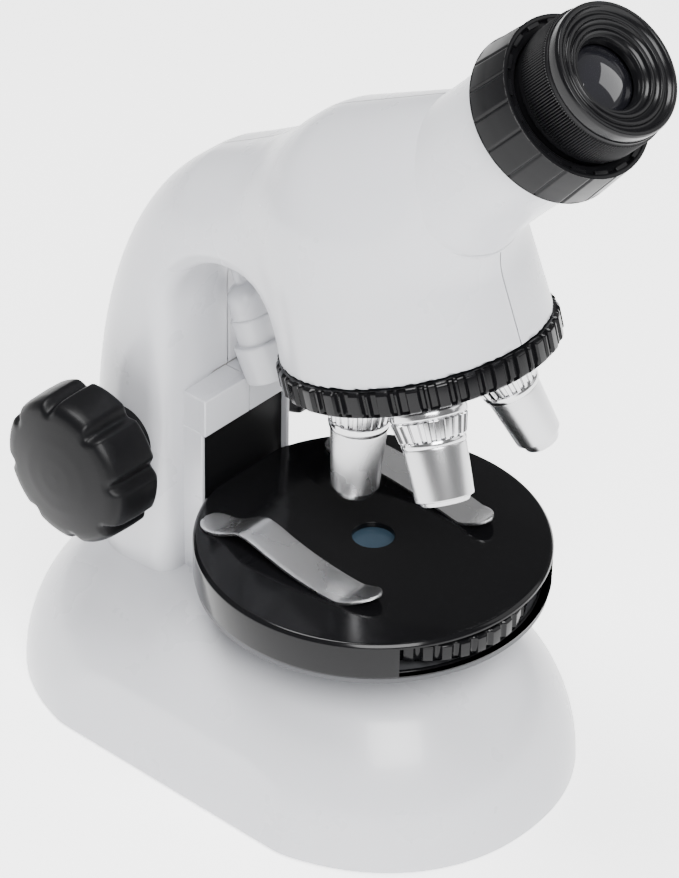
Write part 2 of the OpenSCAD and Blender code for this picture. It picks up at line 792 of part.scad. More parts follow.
module eyepiece_barrel() {
    color("#242424") placed() at_eye() difference() {
        union() {
            translate([0, 0, zoom_len + 0.4]) cylinder(r = barrel_r, h = 22 - zoom_len - 0.4);
            translate([0, 0, -17]) cylinder(r = tube_bore - 0.07, h = 17 + zoom_len + 1);
        }
        translate([0, 0, -18]) cylinder(r = 12.2, h = 36);
        translate([0, 0, 15]) cylinder(r = 11, h = 10);
    }
}

module eyecup() {
    color("#181818") placed() at_eye(22) difference() {
        cylinder(r1 = 15.2, r2 = 14.7, h = 3.4);
        translate([0, 0, -1]) cylinder(r = 8, h = 9);
        translate([0, 0, 0.8]) cylinder(r1 = 8, r2 = 13.4, h = 2.62);
    }
}

module eye_lens() { color("lightcyan") placed() at_eye(18.2) cylinder(r = 10.9, h = 3.4); }
module field_lens() { color("lightcyan") placed() at_eye(-14) cylinder(r = 12.15, h = 3); }

base_shell();
base_cover();
rubber_feet();
base_screws();
battery_box();
batteries();
battery_contacts();
battery_door();
door_screw();
lower_lamp_bezel();
lower_lamp_lens();
lower_lamp_board();
switch_body();
switch_slider();
arm_left_shell();
arm_right_shell();
arm_screws();
column_screws();
shaft_bushes();
top_lamp_housing();
top_lamp_lens();
turret_carrier();
click_spring();
mirror_holder();
head_mirror();
eyepiece_tube();
stage_plate();
stage_underplate();
stage_window();
stage_slider();
focus_rack();
slider_screws();
left_stage_clip();
right_stage_clip();
diaphragm_wheel();
diaphragm_pivot();
focus_shaft();
pinion();
left_focus_knob();
right_focus_knob();
turret_ring();
turret_plate();
turret_pivot();
objective_collars();
low_power_objective();
mid_power_objective();
high_power_objective();
objective_lenses();
zoom_ring();
eyepiece_barrel();
eyecup();
eye_lens();
field_lens();
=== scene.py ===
import bpy
import bmesh
import json
import math
import numpy as np
from mathutils import Vector, Matrix


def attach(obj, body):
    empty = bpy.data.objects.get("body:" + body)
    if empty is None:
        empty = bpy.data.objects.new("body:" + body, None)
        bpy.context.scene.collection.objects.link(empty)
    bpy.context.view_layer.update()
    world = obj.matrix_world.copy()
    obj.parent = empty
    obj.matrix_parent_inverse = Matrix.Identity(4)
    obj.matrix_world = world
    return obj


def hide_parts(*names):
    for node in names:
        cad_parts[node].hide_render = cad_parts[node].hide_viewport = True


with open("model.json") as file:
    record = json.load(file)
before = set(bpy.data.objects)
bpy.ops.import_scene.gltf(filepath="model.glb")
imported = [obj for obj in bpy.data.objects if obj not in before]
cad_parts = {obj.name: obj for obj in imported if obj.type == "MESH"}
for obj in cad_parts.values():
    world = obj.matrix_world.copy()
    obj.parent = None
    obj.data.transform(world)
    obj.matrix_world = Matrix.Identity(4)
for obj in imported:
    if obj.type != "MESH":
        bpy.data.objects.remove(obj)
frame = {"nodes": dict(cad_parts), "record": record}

MM = 0.001
DY = -11.94   # y of the stage's axis, in mm; shapes below are drawn around that axis


# ---------------------------------------------------------------- frames of reference

SHIFT = Matrix.Translation((0, DY * MM, 0))
TILT = math.radians(17.2)
EYE = math.radians(43.7)


def place(x, y, z, rx=0.0, rz=0.0):
    return (SHIFT @ Matrix.Translation((x * MM, y * MM, z * MM))
            @ Matrix.Rotation(rx, 4, "X") @ Matrix.Rotation(rz, 4, "Z"))


TURRET_Y, TURRET_Z = -12.9, 116.2         # centre of the turret ring's lower face
OPTIC_Y = 2                               # upright line of sight through the stage
SHAFT_Y, SHAFT_Z = 58.1, 73.3             # axis of the focus shaft
STAGE_TOP = 61.2
ARM_HALF, FRONT_EDGE, BACK_EDGE = 22, 5.0, 19.5   # half width of the arm, radii of its edges
GUIDE_HALF, GUIDE_SKIN = 15.3, 1.0        # half width and wall of the guide in front of the column
CAP_FRONT, CAP_LOW, CAP_TOP = 38.9, 78, 88
WALL = 2.2                                # thickness of the white shells
SEAT = 58.3                               # where an objective's collar starts, from the turret's apex

TURRET = place(0, TURRET_Y, TURRET_Z, -TILT)
EYEP = place(0, -43.55, 189.2, EYE)
LAMP = place(0, 32.5, 90.5, math.radians(-22.8))
APEX = (OPTIC_Y - TURRET_Y) / math.sin(TILT)


def objective_frame(i):
    turn = math.radians(11.5 + (0, 120, -120)[i])
    return (TURRET @ Matrix.Rotation(turn, 4, "Z") @ Matrix.Translation((0, 0, APEX * MM))
            @ Matrix.Rotation(TILT, 4, "X"))


# ---------------------------------------------------------------- meshes

def new_object(name, verts, faces, matrix=None, smooth=True, sharp=math.radians(35)):
    me = bpy.data.meshes.new(name)
    co = np.asarray(verts, float) * MM
    if matrix is not None:
        m = np.array(matrix)
        co = co @ m[:3, :3].T + m[:3, 3]
    me.from_pydata(co.tolist(), [], faces)
    me.validate()
    o = bpy.data.objects.new(name, me)
    bpy.context.scene.collection.objects.link(o)
    if smooth:
        me.polygons.foreach_set("use_smooth", [True] * len(me.polygons))
        if sharp:
            me.set_sharp_from_angle(angle=sharp)
    me.update()
    return o


def grid_faces(rows, cols, closed=True):
    faces = []
    last = cols if closed else cols - 1
    for i in range(rows - 1):
        for j in range(last):
            k = (j + 1) % cols
            faces.append((i * cols + j, i * cols + k, (i + 1) * cols + k, (i + 1) * cols + j))
    return faces


def lathe(name, profile, matrix, steps=128, shape=None, sharp=math.radians(35)):
    """Turns (radius, height) points about Z. shape(angles, index) is added to a ring's radius."""
    ang = np.arange(steps) * 2 * math.pi / steps
    verts = []
    for i, (r, z) in enumerate(profile):
        rr = np.full(steps, max(r, 1e-4))
        if shape is not None:
            rr = rr + shape(ang, i)
        verts.append(np.stack([rr * np.cos(ang), rr * np.sin(ang), np.full(steps, z)], 1))
    verts = np.concatenate(verts)
    return new_object(name, verts, grid_faces(len(profile), steps), matrix, sharp=sharp)


def rounded(profile, r=0.4, n=4):
    """Rounds the corners of an open (radius, height) outline."""
    out = [profile[0]]
    for a, b, c in zip(profile, profile[1:], profile[2:]):
        a, b, c = Vector(a), Vector(b), Vector(c)
        u, v = a - b, c - b
        cut = min(r, u.length * 0.45, v.length * 0.45)
        if cut < 1e-3:
            out.append(tuple(b))
            continue
        p, q = b + u.normalized() * cut, b + v.normalized() * cut
        for k in range(n + 1):
            t = k / n
            w = p * (1 - t) ** 2 + b * 2 * t * (1 - t) + q * t * t
            out.append((w[0], w[1]))
    out.append(profile[-1])
    return out


def box_piece(name, x0, x1, y0, y1, z0, z1, bevel=0.4, matrix=SHIFT):
    v = [(x, y, z) for x in (x0, x1) for y in (y0, y1) for z in (z0, z1)]
    f = [(0, 1, 3, 2), (4, 6, 7, 5), (0, 4, 5, 1), (2, 3, 7, 6), (0, 2, 6, 4), (1, 5, 7, 3)]
    o = new_object(name, v, f, matrix)
    m = o.modifiers.new("bevel", "BEVEL")
    m.width, m.segments = bevel * MM, 3
    return o


# ---------------------------------------------------------------- signed distances

def smin(a, b, k):
    h = np.clip(0.5 + 0.5 * (b - a) / k, 0, 1)
    return b + (a - b) * h - k * h * (1 - h)


def smax(a, b, k):
    return -smin(-a, -b, k)


def polygon_distance(points, Y, Z):
    p = np.asarray(points, float)
    q = np.roll(p, -1, 0)
    d = np.full(Y.shape, 1e9)
    inside = np.zeros(Y.shape, bool)
    for (ay, az), (by, bz) in zip(p, q):
        ey, ez = by - ay, bz - az
        L = ey * ey + ez * ez
        if L < 1e-12:
            continue
        wy, wz = Y - ay, Z - az
        t = np.clip((wy * ey + wz * ez) / L, 0, 1)
        d = np.minimum(d, (wy - t * ey) ** 2 + (wz - t * ez) ** 2)
        crosses = (az > Z) != (bz > Z)
        if abs(ez) > 1e-12:
            inside ^= crosses & (Y < ay + (Z - az) * ey / ez)
    d = np.sqrt(d)
    return np.where(inside, -d, d)


def round_cone(P, a, b, r1, r2):
    a, b = np.asarray(a, float), np.asarray(b, float)
    ba = b - a
    l2 = ba @ ba
    rr = r1 - r2
    a2 = l2 - rr * rr
    pa = P - a
    y = pa @ ba
    z = y - l2
    x2 = ((pa * l2 - y[..., None] * ba) ** 2).sum(-1)
    y2, z2 = y * y * l2, z * z * l2
    k = np.sign(rr) * rr * rr * x2
    body = (np.sqrt(x2 * a2 * (1 / l2)) + y * rr) / l2 - r1
    far = np.sqrt(x2 + z2) / l2 - r2
    near = np.sqrt(x2 + y2) / l2 - r1
    return np.where(np.sign(z) * a2 * z2 > k, far, np.where(np.sign(y) * a2 * y2 < k, near, body))


def surface(field, low, high, cell):
    """Surface nets on a grid: vertices in mm, quads, from field(P) whose zero is the surface."""
    n = [int(math.ceil((high[k] - low[k]) / cell)) + 1 for k in range(3)]
    ax = [low[k] + cell * np.arange(n[k]) for k in range(3)]
    val = np.empty(n, np.float32)
    for i, x in enumerate(ax[0]):
        Y, Z = np.meshgrid(ax[1], ax[2], indexing="ij")
        val[i] = field(np.full_like(Y, x), Y, Z)
    s = val < 0
    corner = [(dx, dy, dz) for dx in (0, 1) for dy in (0, 1) for dz in (0, 1)]
    view = [s[dx:n[0] - 1 + dx, dy:n[1] - 1 + dy, dz:n[2] - 1 + dz] for dx, dy, dz in corner]
    count = sum(v.astype(np.int8) for v in view)
    active = (count > 0) & (count < 8)
    idx = np.argwhere(active)
    number = np.full(active.shape, -1, np.int64)
    number[active] = np.arange(len(idx))
    acc, tot = np.zeros((len(idx), 3)), np.zeros(len(idx))
    cv = {c: val[idx[:, 0] + c[0], idx[:, 1] + c[1], idx[:, 2] + c[2]] for c in corner}
    for c in corner:
        for k in range(3):
            if c[k]:
                continue
            e = list(c)
            e[k] = 1
            a, b = cv[c], cv[tuple(e)]
            cross = (a < 0) != (b < 0)
            t = np.where(cross, a / np.where(cross, a - b, 1), 0)
            p = np.array(c, float)[None] + 0 * acc
            p[:, k] += t
            acc += np.where(cross[:, None], p, 0)
            tot += cross
    local = acc / tot[:, None]
    verts = np.array(low)[None] + cell * (idx + local)
    quads = []
    for k in range(3):
        a, b = [m for m in range(3) if m != k]
        lo = [slice(1, n[0] - 1), slice(1, n[1] - 1), slice(1, n[2] - 1)]
        lo[k] = slice(0, n[k] - 1)
        hi = list(lo)
        hi[k] = slice(1, n[k])
        s0, s1 = s[tuple(lo)], s[tuple(hi)]
        cross = np.argwhere(s0 != s1)
        base = cross + np.array([1 if m != k else 0 for m in range(3)])
        flip = s0[cross[:, 0], cross[:, 1], cross[:, 2]]
        ids = []
        for da, db in ((1, 1), (0, 1), (0, 0), (1, 0)):
            c = base.copy()
            c[:, a] -= da
            c[:, b] -= db
            ids.append(number[c[:, 0], c[:, 1], c[:, 2]])
        q = np.stack(ids, 1)
        turn = flip if k != 1 else ~flip
        q = np.where(turn[:, None], q, q[:, ::-1])
        quads.append(q)
    return verts, np.concatenate(quads)


def project(field, verts, steps=3):
    """Moves vertices onto the field's zero."""
    h = 0.02
    for _ in range(steps):
        f = field(verts[:, 0], verts[:, 1], verts[:, 2])
        g = np.stack([field(verts[:, 0] + (h if k == 0 else 0), verts[:, 1] + (h if k == 1 else 0),
                            verts[:, 2] + (h if k == 2 else 0)) - f for k in range(3)], 1) / h
        L = (g * g).sum(1)
        step = (f / np.maximum(L, 0.25))[:, None] * g
        verts = verts - np.clip(step, -0.5, 0.5)
    return verts


def relax(verts, quads, field, times=3):
    """Evens out the mesh, keeping it on the surface."""
    e = np.concatenate([quads[:, [0, 1]], quads[:, [1, 2]], quads[:, [2, 3]], quads[:, [3, 0]]])
    for _ in range(times):
        acc = np.zeros_like(verts)
        cnt = np.zeros(len(verts))
        np.add.at(acc, e[:, 0], verts[e[:, 1]])
        np.add.at(acc, e[:, 1], verts[e[:, 0]])
        np.add.at(cnt, e[:, 0], 1)
        np.add.at(cnt, e[:, 1], 1)
        verts = 0.4 * verts + 0.6 * acc / cnt[:, None]
        verts = project(field, verts, 2)
    return verts


# ---------------------------------------------------------------- materials

def material(name, color, rough=0.4, metal=0.0, coat=0.0, bump=0.0, scale=900.0, transmission=0.0,
             ior=1.5, anis=0.0, vary=0.06, spec=0.5):
    m = bpy.data.materials.new(name)
    m.use_nodes = True
    nt = m.node_tree
    b = nt.nodes["Principled BSDF"]
    b.inputs["Base Color"].default_value = (*color, 1)
    b.inputs["Metallic"].default_value = metal
    b.inputs["Coat Weight"].default_value = coat
    b.inputs["Coat Roughness"].default_value = 0.06
    b.inputs["IOR"].default_value = ior
    b.inputs["Specular IOR Level"].default_value = spec
    b.inputs["Transmission Weight"].default_value = transmission
    b.inputs["Anisotropic"].default_value = anis
    tc = nt.nodes.new("ShaderNodeTexCoord")
    ns = nt.nodes.new("ShaderNodeTexNoise")
    ns.inputs["Scale"].default_value = 55.0
    ns.inputs["Detail"].default_value = 4.0
    mr = nt.nodes.new("ShaderNodeMapRange")
    mr.inputs["To Min"].default_value = max(rough - vary, 0.02)
    mr.inputs["To Max"].default_value = rough + vary
    nt.links.new(tc.outputs["Object"], ns.inputs["Vector"])
    nt.links.new(ns.outputs["Fac"], mr.inputs["Value"])
    nt.links.new(mr.outputs["Result"], b.inputs["Roughness"])
    if bump > 0:
        n2 = nt.nodes.new("ShaderNodeTexNoise")
        n2.inputs["Scale"].default_value = scale
        n2.inputs["Detail"].default_value = 3.0
        bp = nt.nodes.new("ShaderNodeBump")
        bp.inputs["Strength"].default_value = bump
        bp.inputs["Distance"].default_value = 0.0001
        nt.links.new(tc.outputs["Object"], n2.inputs["Vector"])
        nt.links.new(n2.outputs["Fac"], bp.inputs["Height"])
        nt.links.new(bp.outputs["Normal"], b.inputs["Normal"])
    return m


MATS = {
    "white_plastic": material("white_plastic", (0.47, 0.475, 0.50), 0.28, coat=0.12, vary=0.03),
    "light_plastic": material("light_plastic", (0.44, 0.45, 0.47), 0.5, bump=0.2),
    "gloss_black": material("gloss_black", (0.0035, 0.0035, 0.004), 0.13, vary=0.04, spec=0.16),
    "black_plastic": material("black_plastic", (0.0035, 0.0035, 0.004), 0.30, bump=0.04, spec=0.12),
    "knob_plastic": material("knob_plastic", (0.0035, 0.0035, 0.004), 0.36, bump=0.08, spec=0.10),
    "soft_black": material("soft_black", (0.003, 0.003, 0.0035), 0.22, spec=0.16),
    "rubber": material("rubber", (0.02, 0.02, 0.02), 0.75, bump=0.5),
    "steel": material("steel", (0.60, 0.60, 0.61), 0.32, metal=1.0),
    "grey_metal": material("grey_metal", (0.055, 0.056, 0.06), 0.5, metal=0.3, spec=0.2),
    "satin_aluminium": material("satin_aluminium", (0.50, 0.50, 0.51), 0.27, metal=1.0, anis=0.4),
    "chrome": material("chrome", (0.56, 0.56, 0.57), 0.16, metal=1.0, vary=0.04),
    "gear_plastic": material("gear_plastic", (0.72, 0.69, 0.60), 0.45),
    "battery": material("battery", (0.05, 0.05, 0.055), 0.3, metal=0.6),
    "circuit_board": material("circuit_board", (0.02, 0.12, 0.05), 0.4),
    "lens": material("lens", (0.90, 0.94, 0.97), 0.05, transmission=0.9, vary=0.02),
    "blue_glass": material("blue_glass", (0.030, 0.052, 0.075), 0.08, vary=0.02, spec=0.3),
    "clip_steel": material("clip_steel", (0.66, 0.66, 0.67), 0.27, metal=1.0, vary=0.05),
    "mirror": material("mirror", (0.9, 0.9, 0.92), 0.04, metal=1.0, vary=0.02),
    # glass with painted shade: its near-black colour stands in for the dark interior seen through a clear
    # lens
    "glass_over_painted_shade": material("glass_over_painted_shade", (0.006, 0.006, 0.008), 0.05, coat=1.0, vary=0.02),
}


def finish_piece(o, slot, body, *nodes, look=None):
    o.data.materials.clear()
    o.data.materials.append(MATS[look or slot])
    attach(o, body)
    if nodes:
        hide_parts(*nodes)
    return o


# ---------------------------------------------------------------- arm and head

def bezier(p, t):
    return tuple((1 - t) ** 3 * a + 3 * t * (1 - t) ** 2 * b + 3 * t * t * (1 - t) * c + t ** 3 * d
                 for a, b, c, d in zip(*p))


THROAT_Y, THROAT_Z, THROAT_R = 26, 111, 20
COLUMN_FRONT, COLUMN_BACK, COLUMN_FOOT = 46, 77, 24
BACK = [(78, 45), (82, 92), (70, 133), (46.7, 147.7)]
BACK_AND_CROWN = [bezier(BACK, k / 24) for k in range(25)] + [(38.9, 151.6), (28.4, 157.2), (18, 161.5)]
THROAT = [(THROAT_Y - THROAT_R * math.cos(math.pi * k / 32), THROAT_Z + THROAT_R * math.sin(math.pi * k / 32))
          for k in range(33)]
ARM_SIDE = ([(COLUMN_BACK, COLUMN_FOOT)] + BACK_AND_CROWN + [(0, 160), (0, THROAT_Z)] + THROAT
            + [(COLUMN_FRONT, COLUMN_FOOT)])
# the same back and crown with nothing in front, for the rounder edges there
ARM_OUTER = ([(COLUMN_BACK, -60), (COLUMN_BACK, COLUMN_FOOT)] + BACK_AND_CROWN
             + [(0, 163), (-60, 170), (-60, -60)])
PLAN_LOW, PLAN_STEP = np.array([-6.0, 18.0]), 0.4
_gy = PLAN_LOW[0] + PLAN_STEP * np.arange(240)
_gz = PLAN_LOW[1] + PLAN_STEP * np.arange(380)
ARM_TABLE = polygon_distance(ARM_SIDE, *np.meshgrid(_gy, _gz, indexing="ij"))
OUTER_TABLE = polygon_distance(ARM_OUTER, *np.meshgrid(_gy, _gz, indexing="ij"))


def lookup(table, low, step, U, V):
    u = np.clip((U - low[0]) / step, 0, table.shape[0] - 1.001)
    v = np.clip((V - low[1]) / step, 0, table.shape[1] - 1.001)
    i, j = u.astype(int), v.astype(int)
    fu, fv = u - i, v - j
    return ((table[i, j] * (1 - fu) + table[i + 1, j] * fu) * (1 - fv)
            + (table[i, j + 1] * (1 - fu) + table[i + 1, j + 1] * fu) * fv)


def fillet(side, X, r):
    q0, q1 = side + r, np.abs(X) - ARM_HALF + r
    return np.minimum(np.maximum(q0, q1), 0) + np.hypot(np.maximum(q0, 0), np.maximum(q1, 0)) - r


def arm_solid(X, Y, Z):
    slab = fillet(lookup(ARM_TABLE, PLAN_LOW, PLAN_STEP, Y, Z), X, FRONT_EDGE)
    slab = np.maximum(slab, fillet(lookup(OUTER_TABLE, PLAN_LOW, PLAN_STEP, Y, Z), X, BACK_EDGE))
    st, ct = math.sin(TILT), math.cos(TILT)
    h = (Y - TURRET_Y) * st + (Z - TURRET_Z) * ct
    w = (Y - TURRET_Y) * ct - (Z - TURRET_Z) * st
    rad = np.hypot(X, w)
    cone = (rad - (30.8 - 0.086 * (h - 6.6))) * 0.996
    cone = smax(cone, h - 46, 8)
    P = np.stack([X, Y, Z], -1)
    top = round_cone(P, (0, -1, 147), (0, -22.4, 169.8), 27.5, 16.0)
    head = smin(cone, top, 4)
    body = smin(slab, head, 6)
    return smax(body, np.where(Y < 32, 6.6 - h, -50.0), 0.5)


def arm_field(X, Y, Z):
    d = arm_solid(X, Y, Z)
    d = np.maximum(d, -(d + WALL))
    hole = np.hypot(Y - SHAFT_Y, Z - SHAFT_Z) - 4.7
    slot = np.maximum(np.maximum(np.abs(X) - 5.5, Y - 52.5), np.maximum(46 - Z, Z - 87.9))
    return np.maximum(np.maximum(d, -hole), -slot)


def half_shell(name, side, cell=1.0):
    v, q = surface(arm_field, (-1.5, -46, 22), (33, 90, 190), cell)
    v = relax(v, q, arm_field, 2)
    v = v * np.array([side, 1, 1])
    faces = q if side > 0 else q[:, ::-1]
    o = new_object(name, v, faces.tolist(), SHIFT, sharp=math.radians(40))
    bm = bmesh.new()
    bm.from_mesh(o.data)
    geom = bm.verts[:] + bm.edges[:] + bm.faces[:]
    bmesh.ops.bisect_plane(bm, geom=geom, dist=1e-7, plane_co=(side * 0.00011, 0, 0),
                           plane_no=(-side, 0, 0), clear_outer=True)
    bm.to_mesh(o.data)
    bm.free()
    return o


for side, name in ((-1, "left"), (1, "right")):
    o = half_shell("arm_%s" % name, side)
    finish_piece(o, "white_plastic", "stand", "arm_%s_shell" % name)
    x = sorted((side * GUIDE_HALF, side * (GUIDE_HALF - GUIDE_SKIN)))
    c = sorted((side * GUIDE_HALF, side * 0.1))
    # the cap's top and side stand a little inside its front, so that no two faces share a plane
    for piece, size, bevel in (
            ("guide", (*x, 40, 46.6, 34, 78.5), 0.25),
            ("cap_front", (*c, CAP_FRONT, 40.9, CAP_LOW, CAP_TOP), 0.35),
            ("cap_top", (c[0] * 0.985, c[1] * 0.985, 39.6, 46.6, 87.1, 87.85), 0.2),
            ("cap_side", (x[0] * 0.99, x[1] * 0.99, 39.6, 46.6, 78.2, 87.7), 0.2)):
        finish_piece(box_piece("%s_%s" % (piece, name), *size, bevel), "white_plastic", "stand")

# ---------------------------------------------------------------- base

def sgn_pow(v, p):
    return math.copysign(abs(v) ** p, v)


def half_oval(cy, length, p, a0, a1, n=48):
    out = []
    for i in range(n + 1):
        a = math.radians(a0 + (a1 - a0) * i / n)
        out.append((48 * sgn_pow(math.cos(a), 2 / p), cy + length * sgn_pow(math.sin(a), 2 / p)))
    return out


OUTLINE = half_oval(40, 55.6, 2.3, 0, 180) + half_oval(3.4, 53.9, 2.14, 180, 360)
BASE_LOW = np.array([-54.0, -58.0])
_gx = BASE_LOW[0] + 0.6 * np.arange(182)
_gy2 = BASE_LOW[1] + 0.6 * np.arange(272)
BASE_TABLE = polygon_distance(OUTLINE, *np.meshgrid(_gx, _gy2, indexing="ij"))


def base_solid(X, Y, Z):
    R = 44.5
    plan = lookup(BASE_TABLE, BASE_LOW, 0.6, X, Y)
    zz = np.clip(Z, 0, 42.5)
    c = np.sqrt(R * R - zz * zz)
    dome = (plan + R - c) * (c / R)
    dome = smax(dome, (Z - 38.0) * 0.98, 5)
    flat = (np.abs(X) - 46.5 + 0.15 * np.maximum(Z, 0)) * 0.989
    return smax(dome, flat, 0.5)


def base_field(X, Y, Z):
    d = base_solid(X, Y, Z)
    d = np.maximum(d, -(d + WALL))
    lamp = np.maximum(np.hypot(X, Y - 2) - 7.9, 30 - Z)
    win = np.maximum(np.maximum(np.abs(Y - 45) - 5.5, np.abs(Z - 8.5) - 2.2), 40 - X)
    return np.maximum(np.maximum(d, -lamp), -win)


v, q = surface(base_field, (-50, -54, -3), (50, 99, 42), 1.1)
v = relax(v, q, base_field, 2)
o = new_object("base_dome", v, q.tolist(), SHIFT, sharp=math.radians(40))
bm = bmesh.new()
bm.from_mesh(o.data)
bmesh.ops.bisect_plane(bm, geom=bm.verts[:] + bm.edges[:] + bm.faces[:], dist=1e-7,
                       plane_co=(0, 0, 0.0008), plane_no=(0, 0, -1), clear_outer=True)
rim = [e for e in bm.edges if e.is_boundary]
try:
    bmesh.ops.bridge_loops(bm, edges=rim)
except RuntimeError:
    pass
bm.to_mesh(o.data)
bm.free()
finish_piece(o, "white_plastic", "stand", "base_shell")

# ---------------------------------------------------------------- eyepiece

# the flare at the head, the fine groove in it, the waist, and the end inside the zoom ring
TUBE = [(18.9, -37.5), (18.3, -34.2), (18.0, -33.2), (17.9, -32.9), (17.35, -32.7), (17.35, -32.4),
        (17.65, -32.2), (17.5, -31), (16.8, -28), (16.35, -24), (16.2, -19), (16.2, -12), (16.3, -6),
        (16.35, 0), (16.3, 8.4), (14.5, 8.4), (14.5, -29)]
finish_piece(lathe("tube", TUBE, EYEP), "white_plastic", "stand", "eyepiece_tube")


def facets(n, radius, depth, width, rows):
    def f(a, i):
        if i not in rows:
            return 0 * a
        u = (a * n / (2 * math.pi)) % 1.0
        d = np.minimum(u, 1 - u) * 2 * math.pi / n
        flat = radius * (np.cos(math.pi / n) / np.cos((u - 0.5) * 2 * math.pi / n) - 1)
        return flat * 0.8 - depth * np.exp(-(d * radius / width) ** 2)
    return f


ZOOM = rounded([(16.65, 0.4), (17.6, 0.0), (19.3, 0.0), (18.9, 5.0), (18.45, 11.4), (17.3, 11.4),
                (17.0, 10.6), (14.9, 10.2), (14.5, 9.0)], 0.5)
zr = [i for i, (r, s) in enumerate(ZOOM) if r > 18.2 and 0.2 < s < 11.2]
finish_piece(lathe("zoom_grip", ZOOM, EYEP, 720, facets(18, 18.9, 0.42, 0.32, zr), sharp=math.radians(50)),
             "black_plastic", "zoom_ring", "zoom_ring")
for k in range(18):
    a = 2 * math.pi * (k + 0.5) / 18
    p = box_piece("zoom_tooth_%02d" % k, 16.35, 17.5, -1.7, 1.7, 10.2, 11.25, 0.15,
                  EYEP @ Matrix.Rotation(a, 4, "Z"))
    finish_piece(p, "black_plastic", "zoom_ring")


def knurl(n, depth, rows):
    def f(a, i):
        if i not in rows:
            return 0 * a
        return depth * (np.abs(np.cos(a * n / 2)) - 0.5) * 2
    return f


BARREL = rounded([(14.0, -16.9), (14.28, -16.9), (14.28, 11.9), (15.2, 12.0), (15.2, 13.2), (15.35, 13.5),
                  (15.35, 20.9), (15.1, 21.2), (15.1, 22.0), (13.0, 22.0)], 0.15)
br = [i for i, (r, s) in enumerate(BARREL) if 13.3 < s < 21.1 and r > 15.25]
finish_piece(lathe("eyepiece_knurl", BARREL, EYEP, 960, knurl(160, 0.22, br), sharp=math.radians(60)),
             "black_plastic", "eyepiece", "eyepiece_barrel")
CUP = rounded([(14.2, 21.8), (14.9, 22.0), (15.0, 24.6), (14.7, 25.35), (13.9, 25.35), (13.5, 24.7),
               (13.0, 24.2), (12.4, 24.1), (12.1, 24.6), (11.4, 24.6), (11.1, 23.9), (10.5, 23.4),
               (10.2, 23.8), (9.5, 23.8), (9.2, 23.0), (8.6, 22.5), (8.2, 22.6), (7.7, 21.6),
               (7.5, 20.2)], 0.22)
finish_piece(lathe("cup", CUP, EYEP, 160), "soft_black", "eyepiece", "eyecup")
LENS_R, LENS_FRONT = 14.0, 21.9
LENS = ([(0.001, LENS_FRONT)]
        + [(LENS_R * math.sin(t), LENS_FRONT - LENS_R * (1 - math.cos(t)))
           for t in np.linspace(0.05, 0.56, 10)]
        + [(7.6, 19.0), (0.001, 18.6)])
# the eye lens is drawn opaque and near black, painted shade for the tube's interior behind it
finish_piece(lathe("eye_glass", LENS, EYEP, 96), "lens", "eyepiece", "eye_lens", look="glass_over_painted_shade")

# ---------------------------------------------------------------- turret

def ring_grip(a, i):
    if i not in RING_ROWS:
        return 0 * a
    u = (a * 30 / (2 * math.pi)) % 1.0
    return np.interp(u, [0, 0.05, 0.42, 0.48, 0.60, 0.645, 0.735, 0.78, 0.94, 1.0],
                     [-1.15, 0.0, 0.0, -1.15, -1.15, -0.25, -0.25, -1.15, -1.15, -1.15])


RING = rounded([(28.9, 1.0), (29.6, 0.0), (31.0, 0.0), (32.1, 0.7), (32.1, 5.6), (31.4, 6.3),
                (28.9, 6.3)], 0.35)
RING_ROWS = [i for i, (r, s) in enumerate(RING) if r > 31.3]
finish_piece(lathe("ring_grip", RING, TURRET, 900, ring_grip, sharp=math.radians(38)),
             "gloss_black", "turret", "turret_ring")
DOME = [(29.3, 1.0)] + [(r, APEX - math.sqrt(SEAT ** 2 - r * r)) for r in (29.2, 27, 24, 20, 16, 12, 8, 5.5)]
DOME += [(5.5, -5.5), (3.1, -5.5)]
finish_piece(lathe("turret_floor", DOME, TURRET, 128), "gloss_black", "turret", "turret_plate")

